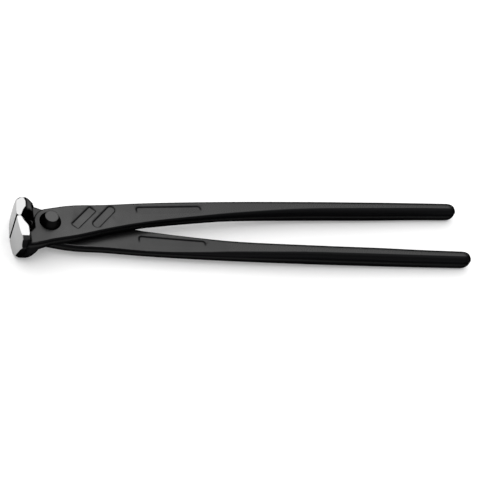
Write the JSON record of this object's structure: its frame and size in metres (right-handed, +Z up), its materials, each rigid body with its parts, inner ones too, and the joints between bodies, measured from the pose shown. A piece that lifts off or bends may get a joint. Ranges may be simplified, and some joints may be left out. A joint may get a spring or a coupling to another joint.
{
  "type": "rebar tying pliers",
  "caption": "Long-handled nippers for twisting and cutting tie wire: crossed forged levers on a riveted lap joint, with broad ground jaws.",
  "frame": {"origin": "middle of the footprint, on the bench the tool lies on", "axes": "+X along the tool from the jaws to the handle ends, +Y across the handles, +Z up, on the side of the rivet's cone head"},
  "size_m": [0.298, 0.0472, 0.0251],
  "materials": {
    "black_steel": "black oxide over a forged skin, satin; jaw fronts and jaw ends ground bright",
    "rivet_steel": "black oxide over a turned surface, satin"
  },
  "bodies": {
    "rear_half": {"rear_lever": "black_steel", "pivot_rivet": "rivet_steel"},
    "front_half": {"front_lever": "black_steel"}
  },
  "joints": [
    {"name": "pivot", "type": "hinge", "parent": "rear_half", "child": "front_half", "pos_m": [-0.12774, 0, 0.01215], "axis": [0.0238, 0, 0.9997], "range_deg": [0, 45]}
  ]
}
